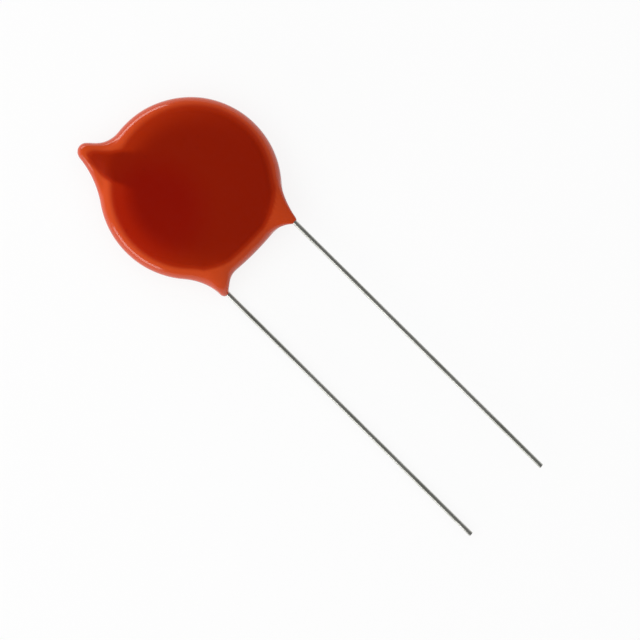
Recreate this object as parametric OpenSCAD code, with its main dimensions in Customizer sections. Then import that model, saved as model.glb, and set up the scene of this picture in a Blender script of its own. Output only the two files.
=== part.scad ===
// Ceramic disc capacitor with two radial wire leads, lying on one face.
// X runs along the leads towards their cut ends and Z is up.
// The origin is the middle of the flat face that the body rests on.

/* [Ceramic disc] */
// Diameter of the fired ceramic disc
ceramic_d = 15.6; // [12:0.1:24]
// Thickness of the ceramic disc
ceramic_t = 1.4; // [0.8:0.1:3]
// Chamfer on both pressed edges of the disc
ceramic_chamfer = 0.15; // [0.05:0.05:0.3]

/* [Electrodes] */
// Thickness of each fired silver film
electrode_t = 0.05; // [0.03:0.01:0.15]
// Ring of bare ceramic left round each film
electrode_margin = 0.8; // [0.4:0.1:1.5]

/* [Leads] */
// Wire diameter
lead_d = 0.5; // [0.4:0.05:0.8]
// Distance between the two leads
lead_spacing = 10; // [7.5:0.5:12.5]
// Distance from the rim of the body to the cut ends of the leads
lead_reach = 36.05; // [5:0.05:45]
// Angle by which each wire turns in towards the middle of the disc
lead_toe_in = 20; // [10:1:25]
// Radius of that bend, at the middle of the wire
lead_bend_r = 1.5; // [1:0.1:3]
// Length of straight wire that lies along the electrode
lead_leg = 9.5; // [7:0.1:11]

/* [Solder mounds] */
// Solder left between wire and electrode
solder_film = 0.1; // [0.05:0.05:0.2]
// Solder over the top of the wire at the middle of a mound
solder_rise = 0.15; // [0.1:0.05:0.25]
// Diameter of a mound where it wets the electrode
solder_d = 4.4; // [3:0.1:5]
// Distance from the inner end of the wire back to the middle of the mound
solder_from_end = 0.6; // [0.2:0.1:0.8]

/* [Resin coat] */
// Resin over the wires, up to each flat face
cover_t = 0.45; // [0.3:0.05:1]
// Resin beyond the edge of the ceramic
rim_t = 1.55; // [1:0.05:2.5]
// Width of the rounded rim round each flat face
rim_round = 1.75; // [1.2:0.05:2.5]
// Radius in plan of the nearly straight edge between the leads
web_r = 28; // [12:1:60]
// How much blunter a collar or drip gets in plan for each unit of height above or below its nose
tail_flare = 0.5; // [0.2:0.1:1.2]

/* [Front collar] */
// Distance from the rim to the end of the collar, along the lead
front_collar_len = 0.7; // [0.5:0.05:2]
// Resin round the wire at the end of the collar
front_collar_wall = 0.07; // [0.05:0.01:0.28]
// Fillet between the collar and the outer side of the rim
front_fillet_outer = 12; // [2:0.5:14]
// Fillet between the collar and the edge between the leads
front_fillet_inner = 4; // [1:0.5:14]

/* [Rear collar] */
// Distance from the rim to the end of the collar, along the lead
rear_collar_len = 1; // [0.5:0.05:2]
// Resin round the wire at the end of the collar
rear_collar_wall = 0.3; // [0.05:0.01:0.35]
// Fillet between the collar and the outer side of the rim
rear_fillet_outer = 7; // [2:0.5:14]
// Fillet between the collar and the edge between the leads
rear_fillet_inner = 2; // [1:0.5:14]

/* [Drip tail] */
// Direction of the drip, anticlockwise from the leads
drip_angle = 205.4; // [150:0.1:215]
// Distance from the rim to the end of the drip
drip_len = 2.85; // [1.5:0.05:5]
// Radius of the rounded end of the drip
drip_r = 1; // [0.5:0.05:1.2]
// Fillet on the steep side of the drip
drip_fillet_steep = 2.9; // [1:0.1:8]
// Fillet on the wide side of the drip, towards the leads
drip_fillet_wide = 9.8; // [2:0.1:14]

/* [Hidden] */

$fn = 64;
// Fineness of the shallow solder mounds
mound_fn = 180;

resin_colour = [0.72, 0.16, 0.06];
ceramic_colour = [0.62, 0.52, 0.38];
silver_colour = [0.86, 0.86, 0.84];
solder_colour = [0.66, 0.67, 0.68];
wire_colour = [0.55, 0.55, 0.53];

// Heights above the middle plane of the disc
electrode_top = ceramic_t / 2 + electrode_t;
lead_z = electrode_top + solder_film + lead_d / 2;
half_t = lead_z + lead_d / 2 + cover_t;

// Radii about the middle of the disc
electrode_r = ceramic_d / 2 - electrode_margin;
rim_r = ceramic_d / 2 + rim_t;
face_r = rim_r - rim_round;

// A mound is a cap of a sphere
mound_h = solder_film + lead_d + solder_rise;
mound_r = (pow(solder_d / 2, 2) + pow(mound_h, 2)) / (2 * mound_h);

// A collar ends in a round nose on the wire's own line, and the wire comes out through its tip
front_nose_r = lead_d / 2 + front_collar_wall;
rear_nose_r = lead_d / 2 + rear_collar_wall;
front_nose_x = rim_r + front_collar_len - front_nose_r;
rear_nose_x = rim_r + rear_collar_len - rear_nose_r;

function wire_exit(front) =
    front
        ? front_nose_x + sqrt(pow(front_nose_r, 2) - pow(lead_d / 2, 2))
        : rear_nose_x + sqrt(pow(rear_nose_r, 2) - pow(lead_d / 2, 2));

front_angle = atan2(lead_spacing / 2, front_nose_x);
rear_angle = 360 - atan2(lead_spacing / 2, rear_nose_x);

// Each tail of the skin: its direction, the distance to the centre of its round nose,
// the nose's radius and height, its fillets before and after it, anticlockwise,
// and whether the edge between the leads starts at it
front_collar = [
    front_angle, norm([front_nose_x, lead_spacing / 2]), front_nose_r, lead_z,
    front_fillet_inner, front_fillet_outer, true
];
drip = [
    drip_angle, rim_r + drip_len - drip_r, drip_r, 0,
    drip_fillet_steep, drip_fillet_wide, false
];
rear_collar = [
    rear_angle, norm([rear_nose_x, lead_spacing / 2]), rear_nose_r, -lead_z,
    rear_fillet_outer, rear_fillet_inner, true
];
tails = [front_collar, drip, rear_collar];

// How closely the skin's lines crowd together beside each tail
crowding = 1.7;
// Lines of the skin between one tail and the next, and between one level and the next
spokes_between_leads = 30;
spokes_beside_drip = 40;
rings_to_face = 8;
rings_between_leads = 14;

// Values from a towards b, b left out, closer together at both ends
function crowded(a, b, count) = [
    for (i = [0 : count - 1])
        let (t = i / count)
        a + (b - a) * (t < 0.5 ? pow(2 * t, crowding) : 2 - pow(2 - 2 * t, crowding)) / 2
];

function between(low, value, high) = max(low, min(value, high));

// The signed angle from b to a, within half a turn
function turn(a, b) = (a - b + 900) % 360 - 180;

// Radius of the plain rim at a height from the middle plane: an elliptical edge
function rim_at(z) = face_r + rim_round * sqrt(max(0, 1 - pow(z / half_t, 2)));

// How far a height is on the way from a tail's nose (0) to the flat face beyond it (1)
function fade(tail, z) =
    let (to_face = z > tail[3] ? half_t - tail[3] : half_t + tail[3])
    between(0, (abs(z - tail[3]) - tail[2]) / (to_face - tail[2]), 1);

// Radius of a tail in plan at a height: its round nose, then blunter towards each face
function nose_r(tail, z) =
    tail[2] + tail_flare * max(0, abs(z - tail[3]) - tail[2]);

// A step of one in a direction, and the direction of a point
function unit(angle) = [cos(angle), sin(angle)];
function direction(point) = atan2(point[1], point[0]);

// Where a ray from the middle of the disc enters a circle (-1) or leaves it (1)
function ray_to_circle(angle, centre, r, which) =
    unit(angle) * centre + which * sqrt(max(0, pow(r, 2) - pow(cross(unit(angle), centre), 2)));

// Where two circles meet, to the left (1) or the right (-1) of the line between their centres
function circles_meet(a, a_r, b, b_r, side) =
    let (
        apart = norm(b - a),
        ahead = (b - a) / apart,
        along = min(a_r, (pow(a_r, 2) - pow(b_r, 2) + pow(apart, 2)) / (2 * apart))
    )
    a + along * ahead + side * sqrt(pow(a_r, 2) - pow(along, 2)) * [-ahead[1], ahead[0]];

// Whether a direction lies between the two leads
function is_web(angle) =
    turn(angle, 0) < front_angle && turn(angle, 0) > rear_angle - 360;

// The circle that the body's edge follows at a height, on the web or elsewhere: its centre and radius
function edge_circle(web, z) =
    web ? [[rim_at(z) - web_r, 0], web_r] : [[0, 0], rim_at(z)];

// How far a tail reaches at a height: round at its nose, then an S-curve that ends
// flush with the body's edge at each face
function nose_reach(tail, z) =
    let (
        away = abs(z - tail[3]),
        r = nose_r(tail, z),
        edge = edge_circle(tail[6], z),
        flush = ray_to_circle(tail[0], edge[0], edge[1] - r, 1) + r
    )
    away < tail[2]
        ? tail[1] + sqrt(pow(tail[2], 2) - pow(away, 2))
        : flush + max(0, tail[1] - flush) * acos(2 * fade(tail, z) - 1) / 180;

// Radius of the skin in one direction: the body's edge, a tail's nose, or the tangent fillet
// between the two
function tail_radius(tail, angle, z) =
    let (
        side = turn(angle, tail[0]),
        edge = edge_circle(is_web(angle), z),
        r = nose_r(tail, z),
        nose = (nose_reach(tail, z) - r) * unit(tail[0]),
        fillet = side < 0 ? tail[4] : tail[5],
        middle = circles_meet(edge[0], edge[1] + fillet, nose, r + fillet, sign(side)),
        leaves_nose = direction(nose + (middle - nose) * r / (r + fillet)),
        meets_edge = direction(edge[0] + (middle - edge[0]) * edge[1] / (edge[1] + fillet))
    )
    abs(side) <= abs(turn(leaves_nose, tail[0])) ? ray_to_circle(angle, nose, r, 1)
    : abs(side) < abs(turn(meets_edge, tail[0])) ? ray_to_circle(angle, middle, fillet, -1)
    : ray_to_circle(angle, edge[0], edge[1], 1);

function skin_radius(angle, z) = max([for (tail = tails) tail_radius(tail, angle, z)]);

// The dipped skin, lofted through level outlines from the lower flat face to the upper one
module resin_skin() {
    lead_level = asin(lead_z / half_t);
    angles = concat(
        crowded(rear_angle - 360, front_angle, spokes_between_leads),
        crowded(front_angle, drip_angle, spokes_beside_drip),
        crowded(drip_angle, rear_angle, spokes_beside_drip)
    );
    levels = concat(
        crowded(-90, -lead_level, rings_to_face),
        crowded(-lead_level, lead_level, rings_between_leads),
        crowded(lead_level, 90, rings_to_face),
        [90]
    );
    count = len(angles);
    last = len(levels) - 1;
    points = [
        for (level = levels)
            let (z = half_t * sin(level))
            for (angle = angles)
                let (r = skin_radius(angle, z))
                [r * cos(angle), r * sin(angle), z]
    ];
    lower_face = [for (i = [0 : count - 1]) i];
    upper_face = [for (i = [count - 1 : -1 : 0]) last * count + i];
    walls = [
        for (ring = [0 : last - 1])
            for (i = [0 : count - 1])
                let (
                    a = ring * count + i,
                    b = ring * count + (i + 1) % count
                )
                each [[a, a + count, b], [b, a + count, b + count]]
    ];
    polyhedron(points, concat([lower_face, upper_face], walls));
}

// Puts what is drawn for the front of the disc on the front or on the rear
module on_side(front) {
    translate([0, 0, half_t])
        rotate([front ? 0 : 180, 0, 0])
            children();
}

module resin_coat() {
    color(resin_colour)
        difference() {
            translate([0, 0, half_t]) resin_skin();
            ceramic_disc();
            for (front = [true, false]) {
                electrode(front);
                solder_mound(front);
                lead(front);
            }
        }
}

module ceramic_disc() {
    edge = ceramic_d / 2;
    color(ceramic_colour)
        translate([0, 0, half_t])
            rotate_extrude()
                polygon([
                    [0, -ceramic_t / 2],
                    [edge - ceramic_chamfer, -ceramic_t / 2],
                    [edge, -ceramic_t / 2 + ceramic_chamfer],
                    [edge, ceramic_t / 2 - ceramic_chamfer],
                    [edge - ceramic_chamfer, ceramic_t / 2],
                    [0, ceramic_t / 2]
                ]);
}

module electrode(front) {
    color(silver_colour)
        on_side(front)
            translate([0, 0, ceramic_t / 2])
                cylinder(r = electrode_r, h = electrode_t);
}

// Moves to the end of the wire's bend and turns X along the leg, away from its inner end
module at_leg(front) {
    translate([wire_exit(front), lead_spacing / 2 - lead_bend_r, 0])
        rotate(lead_toe_in)
            translate([0, lead_bend_r, 0])
                children();
}

module lead_wire(front) {
    translate([wire_exit(front), lead_spacing / 2, lead_z])
        rotate([0, 90, 0])
            cylinder(d = lead_d, h = rim_r + lead_reach - wire_exit(front));
    translate([wire_exit(front), lead_spacing / 2 - lead_bend_r, lead_z])
        rotate(90)
            rotate_extrude(angle = lead_toe_in)
                translate([lead_bend_r, 0])
                    rotate(90)
                        circle(d = lead_d);
    at_leg(front)
        translate([0, 0, lead_z])
            rotate([0, -90, 0])
                cylinder(d = lead_d, h = lead_leg);
}

module lead(front) {
    color(wire_colour)
        on_side(front)
            lead_wire(front);
}

module solder_mound(front) {
    color(solder_colour)
        on_side(front)
            difference() {
                at_leg(front)
                    translate([solder_from_end - lead_leg, 0, electrode_top])
                        intersection() {
                            translate([0, 0, mound_h - mound_r])
                                sphere(r = mound_r, $fn = mound_fn);
                            cylinder(d = solder_d + lead_d, h = mound_h + lead_d);
                        }
                lead_wire(front);
            }
}

resin_coat();
ceramic_disc();
electrode(true);  // front_electrode
electrode(false);  // rear_electrode
solder_mound(true);  // front_solder
solder_mound(false);  // rear_solder
lead(true);  // front_lead
lead(false);  // rear_lead
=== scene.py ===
"""Dresses the ceramic disc capacitor: a dipped resin body on two tinned wire leads."""

import logging
import math
from dataclasses import dataclass
from enum import Enum

import bpy
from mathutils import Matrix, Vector


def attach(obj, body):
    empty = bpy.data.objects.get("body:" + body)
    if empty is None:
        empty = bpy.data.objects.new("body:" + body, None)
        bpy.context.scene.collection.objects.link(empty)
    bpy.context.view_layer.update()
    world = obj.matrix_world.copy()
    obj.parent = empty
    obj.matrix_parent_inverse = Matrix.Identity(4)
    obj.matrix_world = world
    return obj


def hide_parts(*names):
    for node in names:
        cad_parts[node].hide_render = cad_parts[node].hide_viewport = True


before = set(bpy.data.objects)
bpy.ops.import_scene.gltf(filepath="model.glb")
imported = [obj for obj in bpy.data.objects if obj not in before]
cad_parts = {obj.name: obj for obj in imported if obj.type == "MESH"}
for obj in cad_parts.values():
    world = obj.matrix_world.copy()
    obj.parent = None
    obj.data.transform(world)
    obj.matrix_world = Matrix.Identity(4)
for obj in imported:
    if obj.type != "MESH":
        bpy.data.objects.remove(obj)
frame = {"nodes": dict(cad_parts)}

log = logging.getLogger("capacitor")

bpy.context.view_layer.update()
# Per-point share of the faces' deep colour, which also carries painted light and shade.
FACE_TONE = "face_tone"
MM = 0.001
BODY = "root"

# Height of the disc's middle plane over the floor, and of a lead's axis from that plane, in millimetres.
MIDDLE_PLANE = 1.8
LEAD_HEIGHT = 1.1

Colour = tuple[float, float, float, float]
Range = tuple[float, float]
Ring = tuple[float, float]
Place = tuple[float, float, float]

WHITE: Colour = (1, 1, 1, 1)


class Side(Enum):
    """Which face of the ceramic a piece belongs to; the value is the sign of its height and of Y."""

    FRONT = 1
    REAR = -1


class Slot(Enum):
    """The record's material slots that the new pieces take."""

    RESIN = "resin"
    WIRE = "tinned_wire"


def deselect_all() -> None:
    """Leaves edit mode and clears the selection, the CAD nodes included."""
    if bpy.context.object and bpy.context.object.mode != "OBJECT":
        bpy.ops.object.mode_set(mode="OBJECT")
    bpy.ops.object.select_all(action="DESELECT")


def make_active(piece: bpy.types.Object) -> None:
    """Selects one piece alone and makes it the active one."""
    deselect_all()
    piece.select_set(True)
    bpy.context.view_layer.objects.active = piece


def apply_modifiers(piece: bpy.types.Object) -> None:
    """Applies a piece's modifiers in their order."""
    make_active(piece)
    for modifier in list(piece.modifiers):
        bpy.ops.object.modifier_apply(modifier=modifier.name)


def close_and_smooth(piece: bpy.types.Object, angle: float | None = None) -> None:
    """Turns all faces outwards and shades the piece smooth.

    Args:
        piece: the mesh object to finish.
        angle: edges sharper than this many degrees stay sharp; None smooths all.
    """
    make_active(piece)
    bpy.ops.object.mode_set(mode="EDIT")
    bpy.ops.mesh.select_all(action="SELECT")
    bpy.ops.mesh.normals_make_consistent(inside=False)
    bpy.ops.object.mode_set(mode="OBJECT")
    if angle is None:
        bpy.ops.object.shade_smooth()
    else:
        bpy.ops.object.shade_smooth_by_angle(angle=math.radians(angle))


def seat(piece: bpy.types.Object, node: str) -> None:
    """Puts a finished piece in the place of its CAD node.

    Args:
        piece: the finished mesh object, at the origin.
        node: the CAD node that it stands for.
    """
    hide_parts(node)
    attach(piece, BODY)
    log.info("%s stands for %s with %d faces", piece.name, node, len(piece.data.polygons))


def crowded(start: float, end: float, count: int, power: float = 1.7) -> list[float]:
    """Values from start towards end, end left out, closer together at both ends.

    Args:
        start: the first value.
        end: the value after the last one.
        count: how many values to give.
        power: how strongly they crowd.

    Returns:
        The list of values.
    """
    values = []
    for i in range(count):
        t = i / count
        eased = (2 * t) ** power if t < 0.5 else 2 - (2 - 2 * t) ** power
        values.append(start + (end - start) * eased / 2)
    return values


def heading(angle: float) -> Vector:
    """A step of one, in plan, in a direction given in degrees."""
    return Vector((math.cos(math.radians(angle)), math.sin(math.radians(angle))))


def turn_between(angle: float, other: float) -> float:
    """The signed angle from the other direction to this one, within half a turn."""
    return (angle - other + 180) % 360 - 180


def facing(angle: float, other: float) -> float:
    """How well two directions in degrees agree: 1 where they are the same, -1 where they are opposite."""
    return math.cos(math.radians(angle - other))


def smooth_step(value: float, low: float, high: float) -> float:
    """An S-curve from 0 at low to 1 at high."""
    share = max(0.0, min(1.0, (value - low) / (high - low)))
    return share * share * (3 - 2 * share)


class NodeSketch:
    """Places and wires the nodes of one material, node group or world."""

    # The Mix node has a set of sockets for each kind of value, and these are the numbers of the colours'.
    MIX_FIRST = 6
    MIX_SECOND = 7
    MIX_RESULT = 2

    def __init__(self, tree: bpy.types.NodeTree) -> None:
        """Starts on an empty tree."""
        self.tree = tree
        tree.nodes.clear()

    def add(self, kind: str, inputs: dict | None = None, **settings) -> bpy.types.Node:
        """Adds a node.

        Args:
            kind: the node's type name.
            inputs: values or output sockets for its inputs, by name or number.
            settings: the node's own properties.

        Returns:
            The new node.
        """
        made = self.tree.nodes.new(kind)
        for name, value in settings.items():
            setattr(made, name, value)
        for key, value in (inputs or {}).items():
            if isinstance(value, bpy.types.NodeSocket):
                self.tree.links.new(value, made.inputs[key])
            else:
                made.inputs[key].default_value = value
        return made

    def link(self, source: bpy.types.NodeSocket, target: bpy.types.NodeSocket) -> None:
        """Joins two sockets."""
        self.tree.links.new(source, target)

    def remap(self, value: bpy.types.NodeSocket, low: float, high: float,
              to_low: float = 0.0, to_high: float = 1.0) -> bpy.types.NodeSocket:
        """Maps a range of values smoothly onto another.

        Args:
            value: the socket to read.
            low: the value that becomes to_low.
            high: the value that becomes to_high.
            to_low: the first result.
            to_high: the second result.

        Returns:
            The mapped socket.
        """
        node = self.add(
            "ShaderNodeMapRange", {0: value, 1: low, 2: high, 3: to_low, 4: to_high},
            interpolation_type="SMOOTHSTEP",
        )
        return node.outputs[0]

    def mix(self, factor: bpy.types.NodeSocket, first: object, second: object) -> bpy.types.NodeSocket:
        """Mixes two colours.

        Args:
            factor: the socket that drives the mix.
            first: colour or socket at factor 0.
            second: colour or socket at factor 1.

        Returns:
            The mixed colour's socket.
        """
        node = self.add(
            "ShaderNodeMix", {0: factor, self.MIX_FIRST: first, self.MIX_SECOND: second}, data_type="RGBA"
        )
        return node.outputs[self.MIX_RESULT]

    def math(self, operation: str, first: object, second: object) -> bpy.types.NodeSocket:
        """Adds one arithmetic step.

        Args:
            operation: the Math node's operation.
            first: value or socket.
            second: value or socket.

        Returns:
            The result's socket.
        """
        return self.add("ShaderNodeMath", {0: first, 1: second}, operation=operation).outputs[0]


class SurfaceGroups:
    """The shared effects, each a node group that is built once."""

    PATCH_RANGE: Range = (0.2, 0.8)
    PATCH_DETAIL = 1.0
    GRAIN_DETAIL = 2.0
    DOT_RANGE: Range = (0.12, 0.3)

    def __init__(self) -> None:
        """Builds the groups."""
        self.mottle = self._mottle()
        self.specks = self._specks()

    @staticmethod
    def _group(name: str, inputs: tuple[str, ...], outputs: tuple[str, ...]) -> tuple:
        """Makes an empty group with a Vector input.

        Args:
            name: the group's name.
            inputs: its number inputs.
            outputs: its number outputs.

        Returns:
            The group, its sketch, its input node and its output node.
        """
        group = bpy.data.node_groups.new(name, "ShaderNodeTree")
        group.interface.new_socket("Vector", in_out="INPUT", socket_type="NodeSocketVector")
        for key in inputs:
            group.interface.new_socket(key, in_out="INPUT", socket_type="NodeSocketFloat")
        for key in outputs:
            group.interface.new_socket(key, in_out="OUTPUT", socket_type="NodeSocketFloat")
        sketch = NodeSketch(group)
        return group, sketch, sketch.add("NodeGroupInput"), sketch.add("NodeGroupOutput")

    def _mottle(self) -> bpy.types.NodeTree:
        """Cloudy patches and a fine grain.

        Returns:
            The group, with outputs Patch (0 to 1) and Grain (a height).
        """
        group, sketch, start, end = self._group(
            "surface_mottle", ("Patch Scale", "Grain Scale"), ("Patch", "Grain")
        )
        where = start.outputs["Vector"]
        cloud = sketch.add(
            "ShaderNodeTexNoise",
            {"Vector": where, "Scale": start.outputs["Patch Scale"], "Detail": self.PATCH_DETAIL},
        )
        grain = sketch.add(
            "ShaderNodeTexNoise",
            {"Vector": where, "Scale": start.outputs["Grain Scale"], "Detail": self.GRAIN_DETAIL},
        )
        sketch.link(sketch.remap(cloud.outputs[0], *self.PATCH_RANGE), end.inputs["Patch"])
        sketch.link(grain.outputs[0], end.inputs["Grain"])
        return group

    def _specks(self) -> bpy.types.NodeTree:
        """Sparse small round specks.

        Returns:
            The group, with output Speck (0 to 1).
        """
        group, sketch, start, end = self._group("fine_specks", ("Scale", "Share"), ("Speck",))
        cells = sketch.add(
            "ShaderNodeTexVoronoi",
            {"Vector": start.outputs["Vector"], "Scale": start.outputs["Scale"]},
        )
        dot = sketch.remap(cells.outputs["Distance"], *self.DOT_RANGE, 1.0, 0.0)
        parts = sketch.add("ShaderNodeSeparateColor", {0: cells.outputs["Color"]})
        chosen = sketch.math("LESS_THAN", parts.outputs[0], start.outputs["Share"])
        sketch.link(sketch.math("MULTIPLY", dot, chosen), end.inputs["Speck"])
        return group


@dataclass(frozen=True)
class Finish:
    """What every finish shares: a name, the start of its material, its coordinates and its relief."""

    name: str

    def start(self) -> tuple[bpy.types.Material, NodeSketch, bpy.types.Node]:
        """Makes the material with a Principled shader on its output.

        Returns:
            The material, its sketch and the shader node.
        """
        material = bpy.data.materials.new(self.name)
        material.use_nodes = True
        sketch = NodeSketch(material.node_tree)
        shader = sketch.add("ShaderNodeBsdfPrincipled")
        sketch.add("ShaderNodeOutputMaterial", {"Surface": shader.outputs[0]})
        return material, sketch, shader

    @staticmethod
    def place(sketch: NodeSketch, stretch: Place = (1, 1, 1)) -> bpy.types.NodeSocket:
        """Gives object coordinates, squeezed along the axes.

        Args:
            sketch: the material's sketch.
            stretch: scale of the pattern along X, Y and Z.

        Returns:
            The coordinates' socket.
        """
        where = sketch.add("ShaderNodeTexCoord")
        mapping = sketch.add("ShaderNodeMapping", {"Vector": where.outputs["Object"], "Scale": stretch})
        return mapping.outputs[0]

    @staticmethod
    def emboss(sketch: NodeSketch, shader: bpy.types.Node, height: bpy.types.NodeSocket,
               strength: float, depth: float) -> None:
        """Gives the surface a fine relief.

        Args:
            sketch: the material's sketch.
            shader: the shader whose normal it tilts.
            height: the relief's height, 0 to 1.
            strength: the share of it that shows.
            depth: the full height in metres.
        """
        bump = sketch.add("ShaderNodeBump", {"Height": height, "Strength": strength, "Distance": depth})
        sketch.link(bump.outputs[0], shader.inputs["Normal"])


@dataclass(frozen=True)
class ResinFinish(Finish):
    """Dipped orange-red resin: deep red over the ceramic's faces, lighter on the rim and tails.

    As the face tone rises, the colour runs from the rim's through the shoulder's to the face's. The split
    between the deep faces and the lighter rim is partly the resin's own colour and partly painted: painted
    shade on the faces and painted light on the rim, and through the face tone painted light on the lit side
    and painted shade away from it. The red is deepest at one place and a little lighter far from it, and the
    rim is a little duller than the faces.
    Lengths are in metres.
    """

    # These reds are partly the resin's own colour and partly painted: the deep face reds carry painted shade,
    # the shoulder and rim reds painted light.
    face: Colour = (0.236, 0.0041, 0.0003, 1)
    face_light: Colour = (0.250, 0.0056, 0.0004, 1)
    face_far: Colour = (0.254, 0.0092, 0.0006, 1)
    shoulder: Colour = (0.378, 0.0120, 0.0008, 1)
    shoulder_far: Colour = (0.370, 0.0195, 0.0014, 1)
    rim: Colour = (0.548, 0.054, 0.0075, 1)
    rim_light: Colour = (0.600, 0.064, 0.0098, 1)
    speck: Colour = (0.120, 0.004, 0.001, 1)
    deep_place: Place = (-0.0008, -0.0043, 0.0018)
    far_range: Range = (0.0034, 0.0072)
    shoulder_tone: float = 0.5
    patch_scale: float = 140.0
    grain_scale: float = 1500.0
    grain_range: Range = (0.3, 0.7)
    grain_strength: float = 0.02
    grain_depth: float = 0.0001
    speck_scale: float = 1300.0
    speck_share: float = 0.05
    speck_strength: float = 0.12
    rough: Range = (0.09, 0.12)
    rim_wax: float = 0.045
    wax_range: Range = (0.1, 0.7)
    ior: float = 1.45

    def material(self, groups: SurfaceGroups) -> bpy.types.Material:
        """Builds the material.

        Args:
            groups: the shared effects.

        Returns:
            The finished material.
        """
        material, sketch, shader = self.start()
        where = self.place(sketch)
        mottle = sketch.add(
            "ShaderNodeGroup",
            {"Vector": where, "Patch Scale": self.patch_scale, "Grain Scale": self.grain_scale},
            node_tree=groups.mottle,
        )
        specks = sketch.add(
            "ShaderNodeGroup", {"Vector": where, "Scale": self.speck_scale, "Share": self.speck_share},
            node_tree=groups.specks,
        )
        over_face = sketch.add("ShaderNodeAttribute", attribute_name=FACE_TONE).outputs["Fac"]
        patch, grain = mottle.outputs["Patch"], mottle.outputs["Grain"]
        away = sketch.add("ShaderNodeVectorMath", {0: where, 1: self.deep_place}, operation="DISTANCE")
        far = sketch.remap(away.outputs["Value"], *self.far_range)
        face = sketch.mix(far, sketch.mix(patch, self.face, self.face_light), self.face_far)
        shoulder = sketch.mix(far, self.shoulder, self.shoulder_far)
        rim = sketch.mix(patch, self.rim, self.rim_light)
        # The face tone carries painted light and shade, so these mixes paint them into the base colour.
        inner = sketch.mix(sketch.remap(over_face, self.shoulder_tone, 1.0), shoulder, face)
        skin = sketch.mix(sketch.remap(over_face, 0.0, self.shoulder_tone), rim, inner)
        speck = sketch.math("MULTIPLY", specks.outputs["Speck"], self.speck_strength)
        sketch.link(sketch.mix(speck, skin, self.speck), shader.inputs["Base Color"])
        gloss = sketch.remap(grain, *self.grain_range, *self.rough)
        wax = sketch.remap(over_face, *self.wax_range, self.rim_wax, 0.0)
        sketch.link(sketch.math("ADD", gloss, wax), shader.inputs["Roughness"])
        self.emboss(sketch, shader, grain, self.grain_strength, self.grain_depth)
        shader.inputs["IOR"].default_value = self.ior
        return material


@dataclass(frozen=True)
class WireFinish(Finish):
    """Tinned wire: drawn lines along its length and a dull olive tarnish in patches."""

    bright: Colour = (0.680, 0.680, 0.640, 1)
    tarnish: Colour = (0.520, 0.525, 0.475, 1)
    patch_stretch: Place = (0.35, 1, 1)
    patch_scale: float = 900.0
    line_stretch: Place = (0.03, 1, 1)
    line_scale: float = 9000.0
    line_grain_scale: float = 16000.0
    line_strength: float = 0.10
    line_depth: float = 0.00005
    rough: Range = (0.30, 0.44)
    metallic: float = 0.86

    def material(self, groups: SurfaceGroups) -> bpy.types.Material:
        """Builds the material.

        Args:
            groups: the shared effects.

        Returns:
            The finished material.
        """
        material, sketch, shader = self.start()
        along, lines = self.place(sketch, self.patch_stretch), self.place(sketch, self.line_stretch)
        patches = sketch.add(
            "ShaderNodeGroup", {"Vector": along, "Patch Scale": self.patch_scale}, node_tree=groups.mottle
        )
        drawn = sketch.add(
            "ShaderNodeGroup",
            {"Vector": lines, "Patch Scale": self.line_scale, "Grain Scale": self.line_grain_scale},
            node_tree=groups.mottle,
        )
        colour = sketch.mix(patches.outputs["Patch"], self.bright, self.tarnish)
        sketch.link(colour, shader.inputs["Base Color"])
        rough = sketch.remap(drawn.outputs["Patch"], 0.0, 1.0, *self.rough)
        sketch.link(rough, shader.inputs["Roughness"])
        self.emboss(sketch, shader, drawn.outputs["Grain"], self.line_strength, self.line_depth)
        shader.inputs["Metallic"].default_value = self.metallic
        return material


@dataclass(frozen=True)
class GrainyFinish(Finish):
    """A two-tone grainy surface, for the ceramic, the silver films and the solder."""

    first: Colour
    second: Colour
    speck: Colour
    rough: Range
    metallic: float
    patch_scale: float
    grain_scale: float
    grain_strength: float
    speck_share: float
    speck_scale: float = 2600.0
    speck_strength: float = 0.6
    grain_depth: float = 0.0001

    def material(self, groups: SurfaceGroups) -> bpy.types.Material:
        """Builds the material.

        Args:
            groups: the shared effects.

        Returns:
            The finished material.
        """
        material, sketch, shader = self.start()
        where = self.place(sketch)
        mottle = sketch.add(
            "ShaderNodeGroup",
            {"Vector": where, "Patch Scale": self.patch_scale, "Grain Scale": self.grain_scale},
            node_tree=groups.mottle,
        )
        specks = sketch.add(
            "ShaderNodeGroup", {"Vector": where, "Scale": self.speck_scale, "Share": self.speck_share},
            node_tree=groups.specks,
        )
        patch = mottle.outputs["Patch"]
        tone = sketch.mix(patch, self.first, self.second)
        speck = sketch.math("MULTIPLY", specks.outputs["Speck"], self.speck_strength)
        sketch.link(sketch.mix(speck, tone, self.speck), shader.inputs["Base Color"])
        sketch.link(sketch.remap(patch, 0.0, 1.0, *self.rough), shader.inputs["Roughness"])
        self.emboss(sketch, shader, mottle.outputs["Grain"], self.grain_strength, self.grain_depth)
        shader.inputs["Metallic"].default_value = self.metallic
        return material


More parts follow.
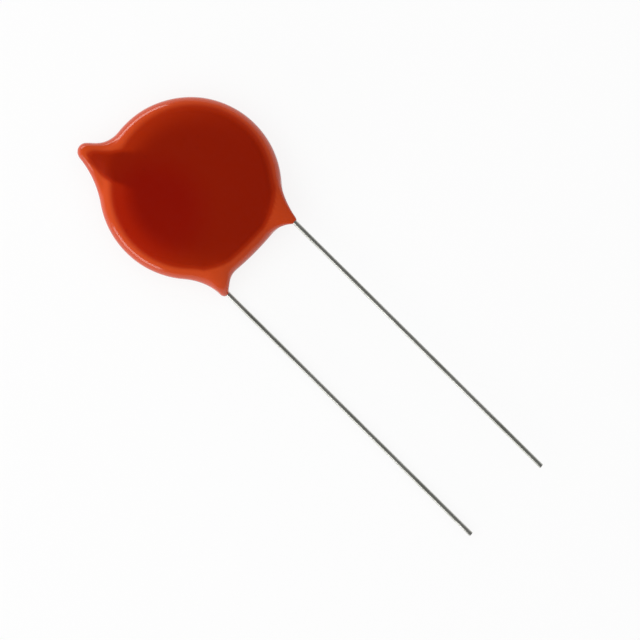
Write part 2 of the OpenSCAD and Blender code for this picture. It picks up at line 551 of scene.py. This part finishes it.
@dataclass(frozen=True)
class Circle:
    """A circle in plan."""

    centre: Vector
    radius: float

    def hit(self, angle: float, far: bool = True) -> float:
        """Where a ray from the axis of the disc leaves or enters the circle.

        Args:
            angle: the ray's direction in degrees.
            far: True for the point where it leaves, False for where it enters.

        Returns:
            The distance from the axis.
        """
        ahead = heading(angle)
        across = ahead.x * self.centre.y - ahead.y * self.centre.x
        half = math.sqrt(max(0.0, self.radius**2 - across**2))
        return ahead.dot(self.centre) + (half if far else -half)

    def fillet(self, other: "Circle", radius: float, left: bool) -> "Circle":
        """The circle that touches this circle and another from outside.

        Args:
            other: the second circle.
            radius: the fillet's radius.
            left: whether it lies to the left of the line from this centre to the other.

        Returns:
            The fillet's circle.
        """
        apart = other.centre - self.centre
        ahead = apart.normalized()
        to_self, to_other = self.radius + radius, other.radius + radius
        along = (to_self**2 - to_other**2 + apart.length_squared) / (2 * apart.length)
        along = min(along, to_self)
        aside = math.sqrt(to_self**2 - along**2) * (1 if left else -1)
        return Circle(self.centre + ahead * along + Vector((-ahead.y, ahead.x)) * aside, radius)

    def touch(self, fillet: "Circle") -> float:
        """Direction, in degrees, of the point where a fillet touches this circle."""
        point = self.centre + (fillet.centre - self.centre).normalized() * self.radius
        return math.degrees(math.atan2(point.y, point.x))


@dataclass(frozen=True)
class Tail:
    """A place where the resin skin runs out of the round rim: a collar on a lead, or the drip.

    Lengths are in millimetres, heights count from the middle plane, and angles are in degrees, anticlockwise
    from the leads. Before and after mean the clockwise and the anticlockwise side.
    """

    angle: float
    distance: float
    radius: float
    rise: float
    height: float
    fillet_before: float
    fillet_after: float
    on_web: bool
    swept: bool = False
    keel: float = 1.0

    def away(self, z: float) -> float:
        """Height above or below the middle of the nose."""
        return abs(z - self.height)

    def bulge(self, z: float) -> float:
        """How far the nose bulges at a height: 1 at its middle, 0 at its top and bottom."""
        return math.sqrt(max(0.0, 1 - (self.away(z) / self.rise) ** 2))

    def fullness(self, z: float) -> float:
        """Share of the tail's width that is left at a height."""
        return self.keel + (1 - self.keel) * self.bulge(z)


@dataclass(frozen=True)
class DripShadeWedge:
    """The wedge of deep colour that runs out along the drip, in millimetres along its line and beside it.

    Before and after are its widths where the drip leaves the rim, on the clockwise and the anticlockwise side
    of the line. Both taper towards the drip's end. Its deep colour is painted shade on the drip's up-facing
    ridge.
    """

    start: Range = (2.0, 6.0)
    end: Range = (10.4, 11.3)
    before: float = 0.6
    before_taper: float = 0.3
    before_blur: float = 0.45
    after: float = 1.5
    after_most: float = 1.9
    after_taper: float = 0.5
    after_blur: float = 0.4
    strength: float = 0.8

    def cover(self, along: float, aside: float, out: float) -> float:
        """How far a point lies inside the wedge.

        Args:
            along: its distance from the axis of the disc, along the drip's line.
            aside: its distance from that line, positive on the anticlockwise side.
            out: how far it lies outside the rim, along the line.

        Returns:
            1 inside the wedge, 0 outside.
        """
        before = self.before - self.before_taper * out
        after = min(self.after_most, self.after - self.after_taper * out)
        inside = 1 - smooth_step(aside, after - self.after_blur, after + self.after_blur)
        inside *= 1 - smooth_step(-aside, before - self.before_blur, before + self.before_blur)
        return inside * smooth_step(along, *self.start) * (1 - smooth_step(along, *self.end))


@dataclass(frozen=True)
class CoatTone:
    """Where the deep colour of the faces gives way to the lighter rim, in millimetres and degrees.

    The deep colour is painted lighter on the side that the left lamps light, as painted light, and keeps at
    least a share of itself on the side away from them, as painted shade. It ends earlier than elsewhere on a
    second side, where the upper window lights the rim, as painted light, and later on a third, away from the
    lamps, as painted shade. A point on a tail counts with at least a share, least_reach, of its true distance
    from the axis.
    """

    # Painted light on the side the left lamps light, and painted shade on the side away from them.
    lit_side: float = 222.0
    painted_light_share: float = 0.64
    painted_light_start: float = 5.0
    painted_light_run: float = 3.1
    painted_light_power: float = 1.2
    painted_shade_share: float = 0.18
    fade_start: float = 7.75
    fade_end: float = 8.7
    # Painted light where the upper window lights the rim, and painted shade on a side away from the lamps.
    painted_window_light_side: float = 178.0
    painted_window_light_by: float = 0.35
    painted_window_light_power: int = 4
    painted_shade_side: float = 105.0
    painted_shade_by: float = 0.45
    least_reach: float = 0.97
    # The drip's wedge: painted shade on its up-facing ridge.
    wedge: DripShadeWedge = DripShadeWedge()

    def depth(self, reach: float, angle: float, cover: float) -> float:
        """How much of the faces' deep colour a point has.

        Args:
            reach: its distance from the axis of the disc.
            angle: the direction of its spoke.
            cover: how far it lies inside the drip's wedge, 0 to 1.

        Returns:
            1 on the faces, 0 on the rim and the collars, and in between on the ridge of the drip.
        """
        # Painted light: towards the side the left lamps light, the faces' deep colour gives way to the
        # lighter rim colours.
        lit = (1 + facing(angle, self.lit_side)) / 2
        outward = max(0.0, min(1.0, (reach - self.painted_light_start) / self.painted_light_run))
        painted_light = self.painted_light_share * lit * outward**self.painted_light_power
        # Painted light where the upper window lights the rim ends the deep colour earlier; painted shade on a
        # side away from the lamps ends it later.
        painted_window_light = self.painted_window_light_by * max(0.0, facing(angle, self.painted_window_light_side)) ** self.painted_window_light_power
        painted_shade = self.painted_shade_by * max(0.0, facing(angle, self.painted_shade_side))
        faded = smooth_step(reach, self.fade_start - painted_window_light, self.fade_end + painted_shade)
        face = (1 - painted_light * (1 - cover)) * (1 - faded)
        # Painted shade: the faces' deep colour is carried along the drip's up-facing ridge.
        deep = face + self.wedge.strength * cover * (1 - face)
        # Painted shade: on the side away from the lamps the skin keeps at least a share of the deep colour.
        return max(deep, self.painted_shade_share * (1 - lit))


@dataclass
class ResinCoat:
    """The dipped skin: two crowned faces, an elliptical rim, a straight web, two collars and the drip.

    Lengths are in millimetres.
    """

    half_thickness: float = 1.785
    middle: float = MIDDLE_PLANE
    rim_radius: float = 9.34
    rim_round: float = 1.75
    web_radius: float = 28.0
    tail_flare: float = 0.6
    face_crown: float = 0.12
    crown_power: int = 3
    face_rings: int = 8
    shoulder_rings: int = 12
    waist_rings: int = 24
    web_spokes: int = 60
    side_spokes: int = 84
    settle_factor: float = 0.5
    settle_rounds: int = 2
    wave_length: float = 5.0
    wave_height: float = 0.04
    wave_middle: float = 0.7
    front_collar: Tail = Tail(
        angle=27.2, distance=10.94, radius=0.42, rise=0.46, height=LEAD_HEIGHT,
        fillet_before=4.0, fillet_after=12.0, on_web=True,
    )
    drip: Tail = Tail(
        angle=205.4, distance=11.2, radius=1.0, rise=1.25, height=0.0,
        fillet_before=2.9, fillet_after=9.8, on_web=False, keel=0.45,
    )
    rear_collar: Tail = Tail(
        angle=332.6, distance=11.04, radius=0.55, rise=0.6, height=-LEAD_HEIGHT,
        fillet_before=7.0, fillet_after=2.0, on_web=True, swept=True,
    )
    tones: CoatTone = CoatTone()
    finish: ResinFinish = ResinFinish("dipped_resin")

    @property
    def face_radius(self) -> float:
        """Radius at which the rim starts to round off."""
        return self.rim_radius - self.rim_round

    @property
    def tails(self) -> tuple[Tail, Tail, Tail]:
        """The three tails in order round the body."""
        return self.front_collar, self.drip, self.rear_collar

    def height_at(self, level: float) -> float:
        """Height from the middle plane of a level that is given as an angle on the rim."""
        return self.half_thickness * math.sin(math.radians(level))

    def rim_at(self, z: float) -> float:
        """Radius of the plain rim at a height from the middle plane."""
        share = math.sqrt(max(0.0, 1 - (z / self.half_thickness) ** 2))
        return self.face_radius + self.rim_round * share

    def crown_at(self, radius: float) -> float:
        """How far a face has fallen at a radius from its middle."""
        return self.face_crown * min(1.0, radius / self.face_radius) ** self.crown_power

    def edge(self, web: bool, z: float) -> Circle:
        """The circle that the body's edge follows at a height, on the web or elsewhere."""
        rim = self.rim_at(z)
        if web:
            return Circle(Vector((rim - self.web_radius, 0)), self.web_radius)
        return Circle(Vector((0, 0)), rim)

    def is_web(self, angle: float) -> bool:
        """Whether a direction lies between the two leads."""
        return self.rear_collar.angle - 360 < turn_between(angle, 0) < self.front_collar.angle

    def nose(self, tail: Tail, z: float) -> Circle:
        """The rounded end of a tail at a height.

        A swept tail rises in one sweep from its tip. Any other has a blunt nose, with an S-curve above and
        below it.

        Args:
            tail: the tail.
            z: height from the middle plane.

        Returns:
            The end's circle in plan.
        """
        past = tail.away(z) - tail.rise
        bulge = tail.bulge(z)
        radius = tail.radius * tail.fullness(z) + self.tail_flare * max(0.0, past)
        edge = self.edge(tail.on_web, z)
        flush = Circle(edge.centre, edge.radius - radius).hit(tail.angle) + radius
        run = self.half_thickness - math.copysign(1, z - tail.height) * tail.height
        if tail.swept and z > tail.height:
            out = max(0.0, tail.distance + tail.radius - flush)
            reach = flush + out * (1 + math.cos(math.pi * tail.away(z) / run)) / 2
        elif past < 0:
            reach = tail.distance + tail.radius * bulge
        else:
            fade = min(1.0, past / (run - tail.rise))
            reach = flush + max(0.0, tail.distance - flush) * math.acos(2 * fade - 1) / math.pi
        return Circle(heading(tail.angle) * (reach - radius), radius)

    def tail_radius(self, tail: Tail, angle: float, z: float) -> float:
        """Radius of the skin by one tail: the body's edge, its nose, or the tangent fillet between.

        Args:
            tail: the tail.
            angle: direction from the axis of the disc.
            z: height from the middle plane.

        Returns:
            Distance from the axis of the disc.
        """
        side = turn_between(angle, tail.angle)
        edge, nose = self.edge(self.is_web(angle), z), self.nose(tail, z)
        radius = tail.fillet_before if side < 0 else tail.fillet_after * tail.fullness(z)
        fillet = edge.fillet(nose, radius, side >= 0)
        if abs(side) <= abs(turn_between(nose.touch(fillet), tail.angle)):
            return nose.hit(angle)
        if abs(side) < abs(turn_between(edge.touch(fillet), tail.angle)):
            return fillet.hit(angle, far=False)
        return edge.hit(angle)

    def skin_radius(self, angle: float, z: float) -> float:
        """Radius of the skin in one direction at one height, as the nearest tail shapes it."""
        nearest = min(self.tails, key=lambda tail: abs(turn_between(angle, tail.angle)))
        return self.tail_radius(nearest, angle, z)

    def spokes(self) -> list[float]:
        """Directions of the skin's lines, closer together beside each tail."""
        front, drip, rear = (tail.angle for tail in self.tails)
        web = crowded(rear - 360, front, self.web_spokes)
        return web + crowded(front, drip, self.side_spokes) + crowded(drip, rear, self.side_spokes)

    def rings(self) -> list[Ring]:
        """The skin's level lines from the middle of the lower face to the middle of the upper one.

        Returns:
            For each line its share of the outline's radius and its level, as an angle on the rim.
        """
        lead = math.degrees(math.asin(self.front_collar.height / self.half_thickness))
        inner = [(i + 0.5) / self.face_rings for i in range(self.face_rings)]
        rim = crowded(-90, -lead, self.shoulder_rings) + crowded(-lead, lead, self.waist_rings)
        rim += crowded(lead, 90, self.shoulder_rings) + [90]
        lower = [(share, -90.0) for share in inner]
        upper = [(share, 90.0) for share in reversed(inner)]
        return lower + [(1.0, level) for level in rim] + upper

    def point(self, ring: Ring, angle: float) -> Vector:
        """Where a level line meets a spoke.

        Args:
            ring: the line's share of the radius and its level.
            angle: the spoke's direction in degrees.

        Returns:
            The point in metres.
        """
        share, level = ring
        z = self.height_at(level)
        radius = share * self.skin_radius(angle, z)
        z -= self.crown_at(radius) * z * abs(z) / self.half_thickness**2
        across = heading(angle) * radius
        return Vector((across.x, across.y, self.middle + z)) * MM

    def tone(self, ring: Ring, angle: float, place: Vector) -> float:
        """How much of the faces' deep colour a point has.

        Args:
            ring: the share of the radius and the level of the point's line.
            angle: the direction of its spoke in degrees.
            place: the point itself, in millimetres.

        Returns:
            The depth of its colour, 0 to 1.
        """
        share, level = ring
        reach = share * self.rim_at(self.height_at(level))
        reach = max(reach, self.tones.least_reach * math.hypot(place.x, place.y))
        # The drip's wedge of painted shade on its up-facing ridge.
        ahead = heading(self.drip.angle)
        along = place.x * ahead.x + place.y * ahead.y
        aside = place.y * ahead.x - place.x * ahead.y
        cover = self.tones.wedge.cover(along, aside, along - self.rim_radius)
        return self.tones.depth(reach, angle, cover)

    def tube(self, sides: int, levels: int) -> bpy.types.Object:
        """Raises a plain open tube from a circle, with a level line at each millimetre.

        Args:
            sides: how many spokes it has.
            levels: how many level lines it has.

        Returns:
            The tube.
        """
        deselect_all()
        bpy.ops.mesh.primitive_circle_add(vertices=sides, radius=MM, fill_type="NOTHING")
        piece = bpy.context.object
        piece.name = "dipped_coat"
        bpy.ops.object.mode_set(mode="EDIT")
        bpy.ops.mesh.select_all(action="SELECT")
        bpy.ops.mesh.extrude_edges_move(TRANSFORM_OT_translate={"value": (0, 0, (levels - 1) * MM)})
        bpy.ops.mesh.select_mode(type="EDGE")
        bpy.ops.mesh.select_all(action="DESELECT")
        bpy.ops.object.mode_set(mode="OBJECT")
        corners = piece.data.vertices
        for edge in piece.data.edges:
            low, high = (corners[i].co.z for i in edge.vertices)
            edge.select = abs(high - low) > MM
        bpy.ops.object.mode_set(mode="EDIT")
        bpy.ops.mesh.subdivide(number_cuts=levels - 2)
        bpy.ops.object.mode_set(mode="OBJECT")
        return piece

    def shape(self, piece: bpy.types.Object, spokes: list[float], rings: list[Ring]) -> None:
        """Moves a tube's corners onto the skin and stores the tone of each.

        Args:
            piece: the tube.
            spokes: the directions of its spokes.
            rings: its level lines.
        """
        step = 2 * math.pi / len(spokes)
        tones = []
        for vertex in piece.data.vertices:
            ring = rings[round(vertex.co.z / MM)]
            angle = spokes[round(math.atan2(vertex.co.y, vertex.co.x) / step) % len(spokes)]
            vertex.co = self.point(ring, angle)
            tones.append(self.tone(ring, angle, vertex.co / MM))
        piece.data.attributes.new(FACE_TONE, "FLOAT", "POINT").data.foreach_set("value", tones)

    def soften(self, piece: bpy.types.Object) -> None:
        """Smooths the skin and gives it the faint waves of a dipped surface."""
        settle = piece.modifiers.new("settle", "SMOOTH")
        settle.factor, settle.iterations = self.settle_factor, self.settle_rounds
        round_off = piece.modifiers.new("round_off", "SUBSURF")
        round_off.levels = round_off.render_levels = 1
        waves = bpy.data.textures.new("dip_waves", "CLOUDS")
        waves.noise_scale, waves.noise_depth = self.wave_length * MM, 1
        uneven = piece.modifiers.new("uneven", "DISPLACE")
        uneven.texture, uneven.texture_coords = waves, "LOCAL"
        uneven.strength, uneven.mid_level = self.wave_height * MM, self.wave_middle
        apply_modifiers(piece)

    def build(self) -> bpy.types.Object:
        """Raises a tube of level lines, shapes it, softens it and closes its ends.

        Returns:
            The finished piece.
        """
        spokes, rings = self.spokes(), self.rings()
        piece = self.tube(len(spokes), len(rings))
        self.shape(piece, spokes, rings)
        self.soften(piece)
        bpy.ops.object.mode_set(mode="EDIT")
        bpy.ops.mesh.select_all(action="SELECT")
        bpy.ops.mesh.fill_holes(sides=0)
        close_and_smooth(piece)
        return piece

    def dress(self, piece: bpy.types.Object, groups: SurfaceGroups) -> None:
        """Gives the skin its finish and its place."""
        piece.data.materials.clear()
        piece.data.materials.append(self.finish.material(groups))
        seat(piece, "resin_coat")


@dataclass
class Lead:
    """One wire lead: a straight free length, a bend inside the resin and a leg along the electrode.

    Lengths are in millimetres and angles in degrees.
    """

    side: Side
    exit_x: float
    end_x: float = 45.4
    radius: float = 0.25
    spacing: float = 10.0
    height: float = LEAD_HEIGHT
    middle: float = MIDDLE_PLANE
    bend_radius: float = 1.5
    toe_in: float = 20.0
    leg: float = 9.5
    cut_slope: float = 0.10
    cut_bevel: float = 0.035
    cut_segments: int = 2
    cut_angle: float = 50.0
    sharp_angle: float = 35.0
    sides: int = 32
    free_steps: int = 24
    bend_steps: int = 8

    def build(self) -> bpy.types.Object:
        """Draws the wire from its cut end, spins the bend and draws the leg.

        Returns:
            The finished piece.
        """
        sign = self.side.value
        y, z = sign * self.spacing / 2, self.middle + sign * self.height
        deselect_all()
        bpy.ops.mesh.primitive_circle_add(
            vertices=self.sides, radius=self.radius * MM, fill_type="NGON",
            location=(self.end_x * MM, y * MM, z * MM), rotation=(0, math.pi / 2, 0),
        )
        wire = bpy.context.object
        wire.name = f"{self.side.name.lower()}_wire"
        bpy.ops.object.transform_apply(location=True, rotation=True, scale=True)
        bpy.ops.object.mode_set(mode="EDIT")
        bpy.ops.mesh.select_all(action="SELECT")
        step = (self.end_x - self.exit_x) / self.free_steps
        for _ in range(self.free_steps):
            bpy.ops.mesh.extrude_region_move(TRANSFORM_OT_translate={"value": (-step * MM, 0, 0)})
        turn = math.radians(self.toe_in)
        bpy.ops.mesh.spin(
            steps=self.bend_steps, angle=-turn * sign, axis=(0, 0, 1),
            center=(self.exit_x * MM, (y - sign * self.bend_radius) * MM, z * MM),
        )
        bpy.ops.mesh.extrude_region_move(TRANSFORM_OT_translate={
            "value": (-self.leg * math.cos(turn) * MM, -sign * self.leg * math.sin(turn) * MM, 0),
        })
        bpy.ops.object.mode_set(mode="OBJECT")
        self.shear(wire, y)
        close_and_smooth(wire, self.sharp_angle)
        return wire

    def shear(self, wire: bpy.types.Object, y: float) -> None:
        """Slants the cut end as cutters leave it and breaks its sharp edge.

        Args:
            wire: the wire.
            y: the wire's place across the part, in millimetres.
        """
        near_end = (self.end_x - self.radius) * MM
        for vertex in wire.data.vertices:
            if vertex.co.x > near_end:
                vertex.co.x -= self.cut_slope * (self.radius * MM + vertex.co.y - y * MM)
        rim = wire.modifiers.new("cut_edge", "BEVEL")
        rim.width, rim.segments = self.cut_bevel * MM, self.cut_segments
        rim.limit_method, rim.angle_limit = "ANGLE", math.radians(self.cut_angle)
        apply_modifiers(wire)

    def dress(self, wire: bpy.types.Object, material: bpy.types.Material) -> None:
        """Gives the wire its finish and its place."""
        wire.data.materials.clear()
        wire.data.materials.append(material)
        seat(wire, f"{self.side.name.lower()}_lead")


@dataclass
class Element:
    """What the resin hides: the ceramic disc, its two silver films and the solder mounds."""

    ceramic: GrainyFinish = GrainyFinish(
        "fired_ceramic",
        first=(0.47, 0.37, 0.25, 1), second=(0.40, 0.31, 0.20, 1), speck=(0.20, 0.15, 0.09, 1),
        rough=(0.62, 0.78), metallic=0.0,
        patch_scale=420.0, grain_scale=5200.0, grain_strength=0.25, speck_share=0.22,
    )
    silver: GrainyFinish = GrainyFinish(
        "silver_film",
        first=(0.80, 0.79, 0.76, 1), second=(0.70, 0.69, 0.65, 1), speck=(0.45, 0.44, 0.41, 1),
        rough=(0.36, 0.52), metallic=1.0,
        patch_scale=700.0, grain_scale=6500.0, grain_strength=0.18, speck_share=0.08,
    )
    solder: GrainyFinish = GrainyFinish(
        "soft_solder",
        first=(0.58, 0.58, 0.60, 1), second=(0.47, 0.47, 0.49, 1), speck=(0.30, 0.30, 0.31, 1),
        rough=(0.22, 0.38), metallic=1.0,
        patch_scale=1100.0, grain_scale=7500.0, grain_strength=0.14, speck_share=0.05,
    )

    def dress(self, nodes: dict[str, bpy.types.Object], groups: SurfaceGroups) -> None:
        """Gives the hidden CAD nodes their finishes.

        Args:
            nodes: the frame's CAD nodes.
            groups: the shared effects.
        """
        finishes = {
            self.ceramic: ("ceramic_disc",),
            self.silver: ("front_electrode", "rear_electrode"),
            self.solder: ("front_solder", "rear_solder"),
        }
        for finish, names in finishes.items():
            material = finish.material(groups)
            for name in names:
                nodes[name].data.materials.clear()
                nodes[name].data.materials.append(material)
                log.info("%s wears %s", name, finish.name)


@dataclass(frozen=True)
class Lamp:
    """A soft box, placed by its bearing in the picture, its elevation and its distance.

    Angles are in degrees, lengths in metres and the power in watts. A mirrored lamp shows in the gloss.
    """

    name: str
    bearing: float
    elevation: float
    distance: float
    width: float
    depth: float
    power: float
    mirrored: bool = False

    def place(self, view_turn: float) -> None:
        """Hangs the lamp and aims it at the body.

        Args:
            view_turn: how far the picture is turned from the frame, in degrees.
        """
        light = bpy.data.lights.new(self.name, "AREA")
        light.shape, light.size, light.size_y = "RECTANGLE", self.width, self.depth
        light.energy = self.power
        box = bpy.data.objects.new(self.name, light)
        bpy.context.scene.collection.objects.link(box)
        across = heading(self.bearing + view_turn) * math.cos(math.radians(self.elevation))
        away = Vector((across.x, across.y, math.sin(math.radians(self.elevation))))
        box.location = away * self.distance
        box.rotation_euler = away.to_track_quat("Z", "Y").to_euler()
        box.visible_glossy = self.mirrored


@dataclass
class Studio:
    """A pale floor, soft lamps and a camera straight above, turned as in the photograph.

    The view's sizes are in millimetres, measured on a plane at view_height. The floor's sizes and the clip
    range are in metres. The room's light falls from horizon to overhead over the dimming range.
    """

    view_turn: float = 44.7
    view_centre: tuple[float, float] = (18.88, -0.27)
    view_width: float = 65.3
    view_height: float = 2.2
    lens: float = 150.0
    sensor: float = 36.0
    clip: Range = (0.01, 10.0)
    floor_size: float = 3.0
    floor_drop: float = 0.00001
    floor_colour: Colour = (0.90, 0.90, 0.90, 1)
    floor_glow: float = 0.85
    horizon: float = 0.25
    overhead: float = 0.01
    dimming: Range = (0.15, 0.85)
    lamps: tuple[Lamp, ...] = (
        Lamp("overhead_fill", bearing=0.0, elevation=89.0, distance=0.6, width=1.8, depth=1.8, power=9.3),
        Lamp("left_fill", bearing=190.0, elevation=36.0, distance=0.40, width=0.5, depth=0.4, power=0.60),
        Lamp(
            "lower_window", bearing=225.0, elevation=9.5, distance=0.30, width=0.23, depth=0.074, power=0.25,
            mirrored=True,
        ),
        Lamp(
            "upper_window", bearing=131.0, elevation=7.5, distance=0.30, width=0.25, depth=0.072, power=0.30,
            mirrored=True,
        ),
    )

    def floor(self) -> None:
        """Lays the floor: white to the camera and in reflections, with the object's own soft shadow."""
        deselect_all()
        bpy.ops.mesh.primitive_plane_add(size=self.floor_size, location=(0, 0, -self.floor_drop))
        floor = bpy.context.object
        floor.name = "floor"
        material = bpy.data.materials.new("floor_white")
        material.use_nodes = True
        sketch = NodeSketch(material.node_tree)
        matt = sketch.add("ShaderNodeBsdfDiffuse", {"Color": self.floor_colour})
        glow = sketch.add("ShaderNodeEmission", {"Color": WHITE, "Strength": 1.0})
        path = sketch.add("ShaderNodeLightPath")
        seen = sketch.math("MAXIMUM", path.outputs["Is Camera Ray"], path.outputs["Is Glossy Ray"])
        seen = sketch.math("MAXIMUM", seen, path.outputs["Is Transmission Ray"])
        share = sketch.math("MULTIPLY", seen, self.floor_glow)
        both = sketch.add("ShaderNodeMixShader", {0: share, 1: matt.outputs[0], 2: glow.outputs[0]})
        sketch.add("ShaderNodeOutputMaterial", {"Surface": both.outputs[0]})
        floor.data.materials.append(material)

    def world(self) -> None:
        """Fills the room dimly, darker straight overhead, and white to the camera."""
        world = bpy.data.worlds.new("studio")
        world.use_nodes = True
        bpy.context.scene.world = world
        sketch = NodeSketch(world.node_tree)
        where = sketch.add("ShaderNodeTexCoord")
        parts = sketch.add("ShaderNodeSeparateXYZ", {0: where.outputs["Generated"]})
        level = sketch.remap(parts.outputs["Z"], *self.dimming, self.horizon, self.overhead)
        path = sketch.add("ShaderNodeLightPath")
        room = sketch.add("ShaderNodeBackground", {"Color": WHITE, "Strength": level})
        white = sketch.add("ShaderNodeBackground", {"Color": WHITE, "Strength": 1.0})
        both = sketch.add(
            "ShaderNodeMixShader",
            {0: path.outputs["Is Camera Ray"], 1: room.outputs[0], 2: white.outputs[0]},
        )
        sketch.add("ShaderNodeOutputWorld", {"Surface": both.outputs[0]})

    def camera(self) -> None:
        """Hangs the camera above the part."""
        data = bpy.data.cameras.new("camera")
        data.sensor_width, data.lens = self.sensor, self.lens
        data.clip_start, data.clip_end = self.clip
        camera = bpy.data.objects.new("camera", data)
        bpy.context.scene.collection.objects.link(camera)
        distance = self.view_width * self.lens / self.sensor
        camera.location = Vector((*self.view_centre, self.view_height + distance)) * MM
        camera.rotation_euler = (0, 0, math.radians(self.view_turn))
        bpy.context.scene.camera = camera

    def build(self) -> None:
        """Sets up the whole studio."""
        self.floor()
        self.world()
        for lamp in self.lamps:
            lamp.place(self.view_turn)
        self.camera()
        bpy.context.scene.view_settings.view_transform = "Standard"


def main() -> None:
    """Builds the part's pieces in order, dresses them and sets up the studio."""
    logging.basicConfig(level=logging.INFO, format="%(name)s: %(message)s")
    groups = SurfaceGroups()
    Element().dress(frame["nodes"], groups)
    tinned = WireFinish("tinned_wire").material(groups)
    for lead in (Lead(Side.FRONT, exit_x=9.93), Lead(Side.REAR, exit_x=10.29)):
        lead.dress(lead.build(), tinned)
    coat = ResinCoat()
    coat.dress(coat.build(), groups)
    Studio().build()


if __name__ == "__main__":
    main()
